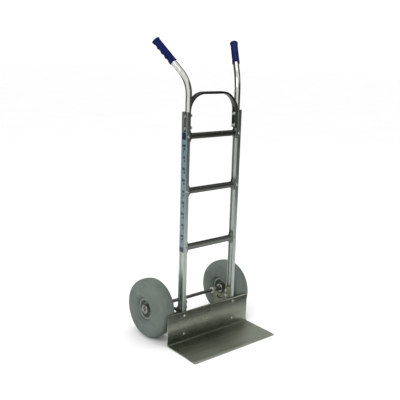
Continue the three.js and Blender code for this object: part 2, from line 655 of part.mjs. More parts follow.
// ---------------------------------------------------------------- build
for (const [label, side] of SIDES) {
  addPart(`rail_${label}`, onSide(side, railGeometry()), 'rail');
  addPart(`handle_tube_${label}`, onSide(side, tubeGeometry()), 'tube');
  addPart(`grip_${label}`, onSide(side, gripGeometry()), 'grip');
  addPart(`axle_bracket_${label}`, onSide(side, bracketGeometry()), 'casting');

  addThroughBolts('handle', HANDLE_BOLT_LEVELS, BRACE_OUTER - BRACE_THICKNESS, label, side);
  addThroughBolts('bracket', BRACKET_BOLT_LEVELS, RAIL_INNER - GAP - BRACKET_WEB, label, side);

  for (const [level, z] of Object.entries(NOSE_BOLT_LEVELS)) {
    const seat = new THREE.Vector3(side * NOSE_BOLT_X, -GAP, z);
    addBolt(`nose_bolt_${level}_${label}`, seat, FRONT, CHANNEL_Y, NOSE_HEAD);
  }

  const boss = new THREE.Vector3(side * (RAIL_OUTER + GAP), AXLE_Y, AXLE_Z);
  const spacerLength = WHEEL_X - HUB_HALF_LENGTH - RAIL_OUTER - 2 * GAP;
  addPart(`axle_spacer_${label}`, onSide(side, sleeveGeometry(SPACER_RADIUS, spacerLength)), 'steel', boss);
  const hubEnd = new THREE.Vector3(side * (WHEEL_X + HUB_HALF_LENGTH + GAP), AXLE_Y, AXLE_Z);
  const washer = onSide(side, sleeveGeometry(WASHER_RADIUS, WASHER_THICKNESS));
  addPart(`axle_washer_${label}`, washer, 'fastener', hubEnd);
  const pinPlace = new THREE.Vector3(side * COTTER_X, AXLE_Y, AXLE_Z);
  addPart(`cotter_pin_${label}`, cotterGeometry(), 'fastener', pinPlace);
  addWheel(label, side);
}
for (const [level, z] of Object.entries(CROSSBAR_LEVELS)) addCrossbar(level, z);
addPart('loop_brace', braceGeometry(), 'brace');
addPart('nose_plate', noseGeometry(), 'nose');
addPart('axle', axleGeometry(), 'steel');

const labelInner = -(RAIL_OUTER + GAP);
addPart('rail_label_left', block(
  [labelInner - LABEL_THICKNESS, labelInner],
  [RAIL_FRONT + LABEL_MARGIN.front, RAIL_FRONT + RAIL_DEPTH - LABEL_MARGIN.back],
  [LABEL_BOTTOM, LABEL_TOP],
), 'label');

export default truck;
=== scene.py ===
# Looks of a two-wheel hand truck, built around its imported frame. Metres, +Z up, -Y to the front.
import math

import bmesh
import bpy
from mathutils import Matrix, Vector


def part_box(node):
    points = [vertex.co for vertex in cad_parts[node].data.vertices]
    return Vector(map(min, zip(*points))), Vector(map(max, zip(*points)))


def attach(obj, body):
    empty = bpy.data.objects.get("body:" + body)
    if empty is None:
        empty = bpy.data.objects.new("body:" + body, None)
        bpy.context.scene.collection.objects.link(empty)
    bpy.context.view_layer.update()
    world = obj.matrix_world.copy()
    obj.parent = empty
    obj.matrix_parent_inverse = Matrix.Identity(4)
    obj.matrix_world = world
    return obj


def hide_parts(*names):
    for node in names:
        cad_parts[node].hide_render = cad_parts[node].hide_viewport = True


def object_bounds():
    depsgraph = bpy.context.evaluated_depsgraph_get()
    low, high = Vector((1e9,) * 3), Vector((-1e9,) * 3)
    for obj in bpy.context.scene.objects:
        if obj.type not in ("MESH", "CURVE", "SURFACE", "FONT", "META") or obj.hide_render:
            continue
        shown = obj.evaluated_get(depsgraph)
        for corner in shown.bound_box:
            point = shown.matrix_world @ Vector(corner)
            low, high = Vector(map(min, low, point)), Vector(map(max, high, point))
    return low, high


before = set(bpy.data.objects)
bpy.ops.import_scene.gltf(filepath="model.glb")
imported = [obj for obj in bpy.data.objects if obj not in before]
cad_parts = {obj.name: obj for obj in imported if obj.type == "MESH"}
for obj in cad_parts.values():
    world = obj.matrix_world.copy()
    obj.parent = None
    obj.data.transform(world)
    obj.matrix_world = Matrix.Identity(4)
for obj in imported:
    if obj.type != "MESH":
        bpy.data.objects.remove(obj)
CAD_LOW, CAD_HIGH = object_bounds()

MM = 0.001
SIDES = (("left", -1), ("right", 1))
X, Y, Z = Vector((1, 0, 0)), Vector((0, 1, 0)), Vector((0, 0, 1))


def size(node):
    """(lowest corner, highest corner, centre) of a CAD node, in millimetres."""
    low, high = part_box(node)
    return low / MM, high / MM, (low + high) / 2 / MM


# ---------------------------------------------------------------- materials
class Paint:
    """Builds one node material on a Principled shader."""

    def __init__(self, name, **sockets):
        self.material = bpy.data.materials.new(name)
        self.material.use_nodes = True
        self.nodes = self.material.node_tree.nodes
        self.links = self.material.node_tree.links
        self.shader = self.nodes["Principled BSDF"]
        for socket, value in sockets.items():
            self.shader.inputs[socket.replace("_", " ")].default_value = value
        self.place = self.nodes.new("ShaderNodeTexCoord").outputs["Object"]

    def plug(self, value, socket):
        if isinstance(value, bpy.types.NodeSocket):
            self.links.new(value, socket)
        else:
            socket.default_value = value

    def stretched(self, scale, turn=(0, 0, 0)):
        mapping = self.nodes.new("ShaderNodeMapping")
        mapping.inputs["Scale"].default_value = scale
        mapping.inputs["Rotation"].default_value = turn
        self.links.new(self.place, mapping.inputs["Vector"])
        return mapping.outputs["Vector"]

    def noise(self, scale, detail=3.0, roughness=0.55, where=None, distortion=0.0):
        node = self.nodes.new("ShaderNodeTexNoise")
        node.inputs["Scale"].default_value = scale
        node.inputs["Detail"].default_value = detail
        node.inputs["Roughness"].default_value = roughness
        node.inputs["Distortion"].default_value = distortion
        self.links.new(where or self.place, node.inputs["Vector"])
        return node.outputs["Fac"]

    def cells(self, scale):
        node = self.nodes.new("ShaderNodeTexVoronoi")
        node.inputs["Scale"].default_value = scale
        self.links.new(self.place, node.inputs["Vector"])
        return node.outputs["Distance"]

    def span(self, value, low, high, to_low=0.0, to_high=1.0):
        node = self.nodes.new("ShaderNodeMapRange")
        self.plug(value, node.inputs["Value"])
        for socket, number in zip(("From Min", "From Max", "To Min", "To Max"), (low, high, to_low, to_high)):
            node.inputs[socket].default_value = number
        return node.outputs["Result"]

    def math(self, operation, a, b=0.0):
        node = self.nodes.new("ShaderNodeMath")
        node.operation = operation
        self.plug(a, node.inputs[0])
        self.plug(b, node.inputs[1])
        return node.outputs["Value"]

    def mix(self, share, a, b):
        node = self.nodes.new("ShaderNodeMix")
        node.data_type = "RGBA"
        self.plug(share, node.inputs["Factor"])
        self.plug(a, node.inputs["A"])
        self.plug(b, node.inputs["B"])
        return node.outputs["Result"]

    def axis(self, name):
        node = self.nodes.new("ShaderNodeSeparateXYZ")
        self.links.new(self.place, node.inputs["Vector"])
        return node.outputs[name]

    def edges(self, low=0.505, high=0.56):
        """High along the outer edges of a piece."""
        node = self.nodes.new("ShaderNodeNewGeometry")
        return self.span(node.outputs["Pointiness"], low, high)

    def colour(self, value):
        self.plug(value, self.shader.inputs["Base Color"])

    def roughness(self, value):
        self.plug(value, self.shader.inputs["Roughness"])

    def bump(self, *layers):
        """Each layer is (height, depth in metres), the widest first."""
        last = None
        for height, depth in layers:
            node = self.nodes.new("ShaderNodeBump")
            node.inputs["Distance"].default_value = depth
            self.links.new(height, node.inputs["Height"])
            if last:
                self.links.new(last, node.inputs["Normal"])
            last = node.outputs["Normal"]
        self.links.new(last, self.shader.inputs["Normal"])


def tone(red, green, blue):
    """A shader colour from the 0 to 255 values of the screen."""
    linear = [v / 255 / 12.92 if v <= 10 else ((v / 255 + 0.055) / 1.055) ** 2.4 for v in (red, green, blue)]
    return (*linear, 1.0)


def scaled(colour, by):
    """The colour made lighter or darker, and never over full white."""
    return [min(1.0, c * by) for c in colour[:3]] + [1.0]


LEDGE_TOP = 0.0048


def ledge_painted_light_and_scuff(paint):
    """High on the ledge, most at its front edge and toward the right: a painted pool of light that makes it
    paler, and a rougher finish where loads slide.
    """
    flat = paint.span(paint.axis("Z"), LEDGE_TOP + 0.0004, LEDGE_TOP + 0.0072, 1.0, 0.0)
    # the painted light grows toward the front edge and toward the right
    forward = paint.span(paint.axis("Y"), -0.20, -0.08, 0.7, -0.1)
    across = paint.span(paint.axis("X"), 0.0, 0.2, 0.0, 0.75)
    ragged = paint.span(paint.noise(1.0, 4.0, 0.6, paint.stretched((4, 60, 60))), 0.3, 0.7, -0.12, 0.12)
    amount = paint.math("ADD", paint.math("ADD", forward, across), ragged)
    return paint.math("MULTIPLY", flat, paint.math("MINIMUM", paint.math("MAXIMUM", amount, 0.0), 1.0))


def drawn_metal(name, base, dark, rough, grain, scuffs=0.5, grain_depth=2e-5, lit_scuff_mask=None):
    """Extruded or drawn aluminium: fine lines along its length, soft blotches, scuffs, painted highlights
    along the edges, and where given a painted pool of light on a rougher patch.
    """
    paint = Paint(name, Metallic=1.0)
    lines = {"X": (2.5, 900, 900), "Y": (900, 2.5, 900), "Z": (900, 900, 2.5)}[grain]
    bands = {"X": (1.2, 140, 140), "Y": (140, 1.2, 140), "Z": (140, 140, 1.2)}[grain]
    fine = paint.noise(1.0, 4.0, 0.6, paint.stretched(lines))
    broad = paint.noise(1.0, 2.0, 0.5, paint.stretched(bands))
    cloud = paint.noise(7.0, 5.0, 0.6, distortion=0.6)
    spots = paint.span(paint.noise(60.0, 6.0, 0.7), 0.58, 0.72)
    slanted = paint.noise(1.0, 2.0, 0.5, paint.stretched((30, 1400, 60), (0.5, 0.9, 0.3)))
    crossing = paint.noise(1.0, 2.0, 0.5, paint.stretched((1300, 40, 55), (1.1, 0.2, 0.8)))
    either = paint.math("MAXIMUM", paint.span(slanted, 0.66, 0.72), paint.span(crossing, 0.67, 0.73))
    patches = paint.span(paint.noise(14.0, 2.0), 0.46, 0.62)
    scratches = paint.math("MULTIPLY", either, patches)
    worn = paint.math("MULTIPLY", scratches, scuffs)
    tint = paint.mix(paint.span(broad, 0.3, 0.7), dark, base)
    tint = paint.mix(paint.span(cloud, 0.35, 0.75, 0.0, 0.35), tint, dark)
    tint = paint.mix(paint.math("MULTIPLY", spots, 0.3), tint, scaled(dark, 0.45))
    tint = paint.mix(worn, tint, scaled(base, 1.35))
    # painted highlight: paler along the outer edges
    tint = paint.mix(paint.math("MULTIPLY", paint.edges(), 0.6), tint, scaled(base, 1.3))
    gloss = paint.math("ADD", paint.span(fine, 0.2, 0.8, rough - 0.06, rough + 0.08),
                       paint.span(cloud, 0.3, 0.7, -0.03, 0.07))
    # painted pool of light: the masked patch goes paler, and it is also made rougher
    if lit_scuff_mask:
        pale_lit_scuff = lit_scuff_mask(paint)
        tint = paint.mix(paint.math("MULTIPLY", pale_lit_scuff, 0.75), tint, tone(196, 203, 186))
        gloss = paint.math("ADD", gloss, paint.math("MULTIPLY", pale_lit_scuff, 0.22))
    paint.colour(tint)
    gloss = paint.math("ADD", gloss, paint.math("MULTIPLY", worn, 0.15))
    paint.roughness(paint.math("ADD", gloss, paint.math("MULTIPLY", spots, 0.1)))
    paint.bump((broad, grain_depth * 2), (fine, grain_depth), (scratches, -2.5e-5))
    return paint.material


def turned_metal(name, base, dark, rough):
    """Zinc-plated or machined steel: tiny crystal mottling, faint stains and painted highlights on the rims.
    """
    paint = Paint(name, Metallic=1.0)
    mottle = paint.cells(900.0)
    cloud = paint.noise(55.0, 5.0, 0.65)
    fine = paint.noise(1600.0, 3.0)
    tint = paint.mix(paint.span(cloud, 0.35, 0.7), base, dark)
    tint = paint.mix(paint.span(mottle, 0.0, 0.8, 0.0, 0.3), tint, dark)
    # painted highlight: paler along the outer edges
    tint = paint.mix(paint.math("MULTIPLY", paint.edges(0.51, 0.6), 0.5), tint, scaled(base, 1.25))
    paint.colour(tint)
    paint.roughness(paint.math("ADD", paint.span(cloud, 0.3, 0.7, rough - 0.05, rough + 0.1),
                               paint.span(fine, 0.3, 0.7, -0.03, 0.03)))
    paint.bump((mottle, 6e-6), (fine, 8e-6))
    return paint.material


def cast_metal(name, base, dark, rough, bore, reach):
    """Sand-cast aluminium: grainy skin, darker pits, painted highlights along the edges, turned bright round
    the bore.
    """
    paint = Paint(name, Metallic=0.85)
    grain = paint.noise(520.0, 5.0, 0.7)
    pits = paint.cells(330.0)
    cloud = paint.noise(22.0, 5.0, 0.6)
    tint = paint.mix(paint.span(cloud, 0.3, 0.7), base, dark)
    tint = paint.mix(paint.span(pits, 0.0, 0.35, 0.5, 0.0), tint, scaled(dark, 0.5))
    # painted highlight: paler along the outer edges
    tint = paint.mix(paint.math("MULTIPLY", paint.edges(0.52, 0.6), 0.7), tint, scaled(base, 1.5))
    back = paint.math("SUBTRACT", paint.axis("Y"), bore.y * MM)
    up = paint.math("SUBTRACT", paint.axis("Z"), bore.z * MM)
    squared = paint.math("ADD", paint.math("MULTIPLY", back, back), paint.math("MULTIPLY", up, up))
    turned = paint.span(paint.math("SQRT", squared), reach * MM, (reach + 1) * MM, 1.0, 0.0)
    paint.colour(paint.mix(turned, tint, tone(206, 208, 200)))
    paint.roughness(paint.math("SUBTRACT", paint.span(grain, 0.3, 0.7, rough - 0.08, rough + 0.12),
                               paint.math("MULTIPLY", turned, 0.25)))
    paint.bump((cloud, 3e-4), (grain, 1.6e-4), (pits, 8e-5))
    return paint.material


def tyre_skin():
    """Moulded foam rubber: fine pores, chalky dust, darker scuffs on the tread."""
    paint = Paint("tyre_skin", Specular_IOR_Level=0.35)
    pores = paint.cells(700.0)
    grain = paint.noise(420.0, 5.0, 0.7)
    cloud = paint.noise(11.0, 6.0, 0.62, distortion=0.8)
    streaks = paint.noise(1.0, 4.0, 0.6, paint.stretched((160, 14, 14)))
    tint = paint.mix(paint.span(cloud, 0.3, 0.72), tone(98, 109, 101), tone(81, 90, 84))
    tint = paint.mix(paint.span(streaks, 0.5, 0.75, 0.0, 0.35), tint, tone(112, 120, 112))
    tint = paint.mix(paint.span(pores, 0.0, 0.3, 0.35, 0.0), tint, tone(74, 82, 76))
    scuff = paint.span(paint.noise(38.0, 6.0, 0.75, distortion=1.2), 0.6, 0.72)
    tint = paint.mix(paint.math("MULTIPLY", scuff, 0.3), tint, tone(66, 70, 66))
    paint.colour(tint)
    paint.roughness(paint.span(grain, 0.3, 0.7, 0.6, 0.82))
    paint.bump((cloud, 4e-4), (grain, 1.1e-4), (pores, 6e-5))
    return paint.material


def rim_paint():
    """Grey powder coat: orange peel, darker blotches, chips down to bright metal."""
    paint = Paint("rim_paint", Coat_Weight=0.15)
    peel = paint.noise(330.0, 2.0, 0.5)
    cloud = paint.noise(26.0, 5.0, 0.6)
    chips = paint.span(paint.noise(120.0, 5.0, 0.7), 0.68, 0.7)
    tint = paint.mix(paint.span(cloud, 0.3, 0.7), tone(118, 128, 119), tone(96, 105, 98))
    tint = paint.mix(paint.math("MULTIPLY", chips, 0.6), tint, tone(160, 163, 158))
    # painted highlight: paler along the outer edges
    tint = paint.mix(paint.math("MULTIPLY", paint.edges(0.52, 0.6), 0.4), tint, tone(150, 154, 148))
    paint.colour(tint)
    paint.roughness(paint.span(cloud, 0.3, 0.7, 0.38, 0.55))
    paint.bump((peel, 5e-5), (chips, -6e-5))
    return paint.material


def grip_vinyl():
    """Dipped navy vinyl: fine leather pebble, polished high spots, darker in the pebble's hollows, painted
    highlights along the edges.
    """
    paint = Paint("grip_vinyl", Specular_IOR_Level=0.1)
    pebble = paint.cells(620.0)
    grain = paint.noise(900.0, 4.0, 0.6)
    cloud = paint.noise(30.0, 5.0, 0.6)
    rubbed = paint.span(paint.noise(18.0, 4.0, 0.6), 0.5, 0.7)
    tint = paint.mix(paint.span(cloud, 0.3, 0.7), tone(6, 20, 78), tone(4, 12, 54))
    # the pebble's hollows go darker
    tint = paint.mix(paint.span(pebble, 0.0, 0.3, 0.25, 0.0), tint, tone(7, 13, 36))
    tint = paint.mix(paint.math("MULTIPLY", rubbed, 0.2), tint, tone(14, 34, 96))
    # painted highlight: paler along the outer edges and ridges
    tint = paint.mix(paint.math("MULTIPLY", paint.edges(0.51, 0.57), 0.3), tint, tone(20, 42, 104))
    paint.colour(tint)
    paint.roughness(paint.math("ADD", paint.span(cloud, 0.3, 0.7, 0.5, 0.64),
                               paint.math("MULTIPLY", rubbed, -0.08)))
    paint.bump((cloud, 1.5e-4), (pebble, 9e-5), (grain, 3e-5))
    return paint.material


def film(name, base, worn_to):
    """Printed film: slight orange peel, rubbed and dusty in places."""
    paint = Paint(name, Coat_Weight=0.12, Coat_Roughness=0.25)
    cloud = paint.noise(34.0, 5.0, 0.65)
    rubs = paint.span(paint.noise(1.0, 4.0, 0.6, paint.stretched((300, 300, 22))), 0.6, 0.74)
    tint = paint.mix(paint.span(cloud, 0.35, 0.75, 0.0, 0.4), base, worn_to)
    paint.colour(paint.mix(paint.math("MULTIPLY", rubs, 0.45), tint, worn_to))
    paint.roughness(paint.span(cloud, 0.3, 0.7, 0.3, 0.48))
    paint.bump((cloud, 6e-5))
    return paint.material


def dark_seal():
    """Rubber bearing seal with a film of grease and dust."""
    paint = Paint("bearing_seal")
    cloud = paint.noise(140.0, 5.0, 0.7)
    paint.colour(paint.mix(paint.span(cloud, 0.35, 0.7), tone(30, 31, 30), tone(62, 62, 56)))
    paint.roughness(paint.span(cloud, 0.3, 0.7, 0.35, 0.7))
    paint.bump((paint.noise(900.0, 3.0), 4e-5))
    return paint.material


RAIL = drawn_metal("rail_aluminium", tone(160, 168, 162), tone(132, 139, 134), 0.3, "Z", 0.6)
BAR = drawn_metal("bar_aluminium", tone(106, 109, 103), tone(88, 91, 85), 0.26, "X", 0.3, 1e-5)
BRACE = drawn_metal("brace_aluminium", tone(84, 86, 84), tone(66, 68, 66), 0.29, "X", 0.5)
TUBE = drawn_metal("tube_aluminium", tone(208, 210, 203), tone(178, 181, 173), 0.15, "Z", 0.35)
# the nose's ledge carries a painted pool of light toward its front and right
NOSE = drawn_metal("nose_aluminium", tone(150, 155, 140), tone(112, 118, 103), 0.27, "X", 0.8,
                   lit_scuff_mask=ledge_painted_light_and_scuff)
CASTING = cast_metal("cast_aluminium", tone(142, 146, 126), tone(104, 107, 88), 0.55,
                     size("axle")[2], 13.6)
STEEL = turned_metal("turned_steel", tone(178, 180, 172), tone(142, 143, 133), 0.32)
DULL = turned_metal("dull_steel", tone(150, 151, 146), tone(112, 113, 108), 0.34)
ZINC = turned_metal("zinc_plate", tone(190, 192, 186), tone(158, 159, 150), 0.28)
TYRE = tyre_skin()
RIM = rim_paint()
GRIP = grip_vinyl()
SEAL = dark_seal()
FILM = film("film_pale", tone(87, 113, 123), tone(110, 127, 132))
INK = film("film_dark", tone(7, 24, 50), tone(22, 44, 72))


# ---------------------------------------------------------------- mesh building
BEVEL_SEGMENTS = 2


def place(name, build, material, body, replaced, at=None, bevel=0.0, angle=35):
    """Makes a piece from a bmesh in millimetres. Its origin is at the point given, or at the frame's own."""
    mesh = bpy.data.meshes.new(name)
    bmesh.ops.scale(build, vec=Vector((MM,) * 3), verts=build.verts)
    bmesh.ops.recalc_face_normals(build, faces=build.faces)
    build.to_mesh(mesh)
    build.free()
    for one in material if isinstance(material, (list, tuple)) else [material]:
        mesh.materials.append(one)
    piece = bpy.data.objects.new(name, mesh)
    bpy.context.scene.collection.objects.link(piece)
    if at is not None:
        piece.location = at * MM
    if bevel:
        edge = piece.modifiers.new("edges", "BEVEL")
        edge.width = bevel * MM
        edge.segments = BEVEL_SEGMENTS
        edge.limit_method = "ANGLE"
        edge.angle_limit = math.radians(angle)
        edge.harden_normals = True
    mesh.shade_smooth()
    mesh.set_sharp_from_angle(angle=math.radians(angle))
    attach(piece, body)
    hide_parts(*replaced)
    return piece


def rounded(points, radius, steps=4):
    """The outline with its corners rounded. A point may carry its own radius as a third number."""
    made = []
    for i, point in enumerate(points):
        here = Vector(point[:2])
        before, after = (Vector(points[(i + k) % len(points)][:2]) for k in (-1, 1))
        r = point[2] if len(point) > 2 else radius
        a, b = (before - here), (after - here)
        half = a.angle(b) / 2 if r else 0
        if not r or abs(half - math.pi / 2) < 0.01:
            made.append(here)
            continue
        reach = min(r / math.tan(half), a.length * 0.49, b.length * 0.49)
        r = reach * math.tan(half)
        start, end = here + a.normalized() * reach, here + b.normalized() * reach
        centre = here + (a.normalized() + b.normalized()).normalized() * (r / math.sin(half))
        s, e = start - centre, end - centre
        turn = s.angle_signed(e)
        for k in range(steps + 1):
            c, n = math.cos(-turn * k / steps), math.sin(-turn * k / steps)
            made.append(centre + Vector((s.x * c - s.y * n, s.x * n + s.y * c)))
    return made


def sheet_solid(build, outline, origin, across, up, along, length):
    """Adds the outline, drawn on the across and up directions, drawn out along a third one."""
    rings = []
    for distance in (0, length):
        base = origin + along * distance
        rings.append([build.verts.new(base + across * p[0] + up * p[1]) for p in outline])
    build.faces.new(rings[0])
    build.faces.new(list(reversed(rings[1])))
    for i in range(len(outline)):
        j = (i + 1) % len(outline)
        build.faces.new((rings[0][i], rings[0][j], rings[1][j], rings[1][i]))


def spun(build, outline, origin, axis, sides=48, ripple=None):
    """Adds a turned shape. The outline's points are (radius, distance along the axis).

    An outline that ends where it starts makes a ring. The ripple adds to the radius.
    """
    side = axis.orthogonal().normalized()
    other = axis.cross(side)
    closed = (Vector(outline[0]) - Vector(outline[-1])).length < 1e-6
    points = outline[:-1] if closed else outline
    rings = []
    for radius, distance in points:
        if radius < 1e-6:
            rings.append([build.verts.new(origin + axis * distance)])
            continue
        ring = []
        for k in range(sides):
            angle = 2 * math.pi * k / sides
            r = radius + (ripple(angle, radius, distance) if ripple else 0)
            spoke = side * math.cos(angle) + other * math.sin(angle)
            ring.append(build.verts.new(origin + axis * distance + spoke * r))
        rings.append(ring)
    pairs = list(zip(rings, rings[1:])) + ([(rings[-1], rings[0])] if closed else [])
    for low, high in pairs:
        for k in range(sides):
            n = (k + 1) % sides
            corners = [low[k % len(low)], low[n % len(low)], high[n % len(high)], high[k % len(high)]]
            unique = list(dict.fromkeys(corners))
            if len(unique) > 2:
                build.faces.new(unique)


def swept(build, section, path, side, cap=True):
    """Adds a section (side, up) carried along the path's points without twisting. Returns its rings."""
    rings = []
    for i, point in enumerate(path):
        ahead = (path[min(i + 1, len(path) - 1)] - path[max(i - 1, 0)]).normalized()
        side = (side - ahead * side.dot(ahead)).normalized()
        up = ahead.cross(side)
        rings.append([build.verts.new(point + side * a + up * b) for a, b in section])
    for low, high in zip(rings, rings[1:]):
        for k in range(len(section)):
            n = (k + 1) % len(section)
            build.faces.new((low[k], low[n], high[n], high[k]))
    if cap:
        build.faces.new(rings[0])
        build.faces.new(list(reversed(rings[-1])))
    return rings


def circle(radius, sides):
    angles = [2 * math.pi * k / sides for k in range(sides)]
    return [(radius * math.cos(a), radius * math.sin(a)) for a in angles]


def arc(centre, radius, start, end, steps):
    """Points (u, v) round a centre, from one angle to another in degrees."""
    angles = [math.radians(start + (end - start) * k / steps) for k in range(steps + 1)]
    return [(centre[0] + radius * math.cos(a), centre[1] + radius * math.sin(a)) for a in angles]


# ---------------------------------------------------------------- places taken from the frame
rail_low, rail_high, _ = size("rail_right")
_, bar_high, bar_middle = size("crossbar_top")
FOOT_RADIUS = 12.7
CHANNEL_RADIUS = 13.1
CHANNEL_X = bar_high.x - FOOT_RADIUS
CHANNEL_Y = bar_middle.y
BOLT_Y = (rail_low.y + rail_high.y) / 2


# ---------------------------------------------------------------- side rails
def rail(label, side):
    low, high, _ = size(f"rail_{label}")
    outer, inner = rail_high.x, rail_low.x
    slot, undercut, depth, lip = 6.0, 6.8, 2.0, 0.7
    back, front = high.y, low.y
    c, r = CHANNEL_Y, CHANNEL_RADIUS
    outline = [(inner, front, 0.5), (outer, front, 1.2), (outer, BOLT_Y - slot, 0.4),
               (outer - lip, BOLT_Y - slot, 0.0), (outer - lip, BOLT_Y - undercut, 0.0),
               (outer - depth, BOLT_Y - undercut, 0.3), (outer - depth, BOLT_Y + undercut, 0.3),
               (outer - lip, BOLT_Y + undercut, 0.0), (outer - lip, BOLT_Y + slot, 0.0),
               (outer, BOLT_Y + slot, 0.4), (outer, back, 1.2), (inner + 3.4, back, 1.0),
               (inner + 2.2, back - 2.4, 0.8), (inner, back - 3.0, 0.4), (inner, c + r + 0.2, 0.3)]
    outline = rounded(outline, 0.5, 3)
    channel = arc((CHANNEL_X, c), r, 90, 270, 18)
    channel = [(2 * CHANNEL_X - u, v) for u, v in channel]
    outline += [Vector(p) for p in channel] + [Vector((inner, c - r))]
    outline = [Vector((side * p.x, p.y)) for p in outline]
    build = bmesh.new()
    sheet_solid(build, outline, Vector((0, 0, low.z)), X, Y, Z, high.z - low.z)
    place(f"rail_{label}_look", build, RAIL, "frame", [f"rail_{label}"], bevel=0.35, angle=50)


for label, side in SIDES:
    rail(label, side)


# ---------------------------------------------------------------- crossbars
# the rounded webs between a bar and its feet
FILLET, WEB_THICK = 9.5, 9.0


def crossbar(level):
    low, high, middle = size(f"crossbar_{level}")
    half, deep, groove, foot = 11.0, 10.0, 9.3, (high.z - low.z) / 2
    end = CHANNEL_X - FOOT_RADIUS
    build = bmesh.new()
    section = [(-deep, -half), (deep, -half), (deep, half), (-deep, half), (-deep, half - 2.2),
               (-groove, half - 2.7), (-groove, half - 3.5), (-deep, half - 4.0), (-deep, 4.0 - half),
               (-groove, 3.5 - half), (-groove, 2.7 - half), (-deep, 2.2 - half)]
    section = rounded(section, 0.8, 2)
    sheet_solid(build, section, Vector((-CHANNEL_X, middle.y, middle.z)), Y, Z, X, 2 * CHANNEL_X)
    for _, side in SIDES:
        profile = [(0, -foot), (FOOT_RADIUS - 1, -foot), (FOOT_RADIUS, 1 - foot), (FOOT_RADIUS, foot - 1),
                   (FOOT_RADIUS - 1, foot), (0, foot)]
        spun(build, profile, Vector((side * CHANNEL_X, middle.y, middle.z)), Z, 40)
        for up in (-1, 1):
            web = [(end + 2, half - 1), (end - FILLET, half - 1)]
            web += [(end - FILLET + FILLET * math.sin(a), half + FILLET - FILLET * math.cos(a))
                    for a in (math.radians(10 * k) for k in range(10))]
            web += [(end + 2, half + FILLET)]
            points = [Vector((side * u, up * v)) for u, v in web]
            sheet_solid(build, points, Vector((0, middle.y - WEB_THICK / 2, middle.z)), X, Z, Y, WEB_THICK)
    place(f"crossbar_{level}_look", build, BAR, "frame", [f"crossbar_{level}"],
          bevel=0.4, angle=40)


for level in ("top", "middle", "bottom"):
    crossbar(level)


# ---------------------------------------------------------------- loop brace
BRACE_THICK, BRACE_CORNER = 10.0, 80.0
brace_low, brace_high, brace_middle = size("loop_brace")


def brace_outer(z):
    """How far out the outer face of a brace leg or shoulder is, at a height."""
    rise = max(0.0, z - (brace_high.z - BRACE_CORNER))
    return brace_high.x - BRACE_CORNER + math.sqrt(max(0.0, BRACE_CORNER ** 2 - rise ** 2))


def loop_brace():
    low, high, middle = brace_low, brace_high, brace_middle
    reach = high.x - BRACE_THICK / 2
    bend = high.z - BRACE_CORNER
    centre = high.x - BRACE_CORNER
    radius = BRACE_CORNER - BRACE_THICK / 2
    steps = 28
    line = [Vector((reach, middle.y, low.z)), Vector((reach, middle.y, bend - 2))]
    line += [Vector((u, middle.y, v)) for u, v in arc((centre, bend), radius, 0, 90, steps)]
    line += [Vector((u, middle.y, v)) for u, v in arc((-centre, bend), radius, 90, 180, steps)]
    line += [Vector((-reach, middle.y, bend - 2)), Vector((-reach, middle.y, low.z))]
    wide, thick = (high.y - low.y) / 2, BRACE_THICK / 2
    section = rounded([(-wide, -thick), (wide, -thick), (wide, thick), (-wide, thick)], 2.2, 4)
    build = bmesh.new()
    swept(build, section, line, Y)
    place("loop_brace_look", build, BRACE, "frame", ["loop_brace"], bevel=0.6, angle=50)


loop_brace()


# ---------------------------------------------------------------- handle tubes and grips
BEND_START, BEND_RADIUS, BEND_ANGLE, SPLAY = 1059.0, 134.0, 43.0, 33.0
TUBE_STRAIGHT, TUBE_RADIUS, TUBE_WALL = 158.0, 12.7, 2.2
TUBE_SIDES = 40
GRIP_LENGTH, GRIP_END_WALL = 116.0, 4.0
GRIP_RADIUS, COLLAR_RADIUS, FLANGE_RISE = 15.8, 16.4, 2.0
HOLLOW_DEPTH, RIDGE_RISE, FINGERS, FINGER_PITCH = 2.6, 0.9, 4, 24.0
RIB_RISE, RIB_PITCH = 0.22, 4.0


def handle_line(side):
    """The tube's centre line, its direction at the end, and the direction of the underside there."""
    tilt = Vector((side * math.sin(math.radians(SPLAY)), math.cos(math.radians(SPLAY)), 0))
    low, _, _ = size(f"handle_tube_{'right' if side > 0 else 'left'}")
    foot = Vector((side * CHANNEL_X, CHANNEL_Y, low.z))
    start = Vector((foot.x, foot.y, BEND_START))
    rises, turns = 48, 30
    line = [foot + Z * (start.z - foot.z) * k / rises for k in range(rises)]
    for k in range(turns + 1):
        angle = math.radians(BEND_ANGLE) * k / turns
        line.append(start + tilt * BEND_RADIUS * (1 - math.cos(angle)) + Z * BEND_RADIUS * math.sin(angle))
    angle = math.radians(BEND_ANGLE)
    ahead = tilt * math.sin(angle) + Z * math.cos(angle)
    line += [line[-1] + ahead * TUBE_STRAIGHT * k / 4 for k in (1, 2, 3, 4)]
    return line, ahead, tilt * math.cos(angle) - Z * math.sin(angle)


def handle_tube(label, side):
    line, _, _ = handle_line(side)
    build = bmesh.new()
    outer = swept(build, circle(TUBE_RADIUS, TUBE_SIDES), line, X, cap=False)
    inner = swept(build, circle(TUBE_RADIUS - TUBE_WALL, TUBE_SIDES), line, X, cap=False)
    # below the bend the tube's inner side is cut flat along the brace
    for rings, wall in ((outer, 0.0), (inner, TUBE_WALL)):
        for vertex in (v for ring in rings for v in ring if v.co.z < BEND_START - 8):
            flat = brace_outer(vertex.co.z) + 0.2 + wall
            if abs(vertex.co.x) < flat:
                vertex.co.x = side * flat
    for end in (0, -1):
        for k in range(TUBE_SIDES):
            n = (k + 1) % TUBE_SIDES
            build.faces.new((outer[end][k], outer[end][n], inner[end][n], inner[end][k]))
    place(f"handle_tube_{label}_look", build, TUBE, "frame", [f"handle_tube_{label}"],
          bevel=0.3, angle=50)


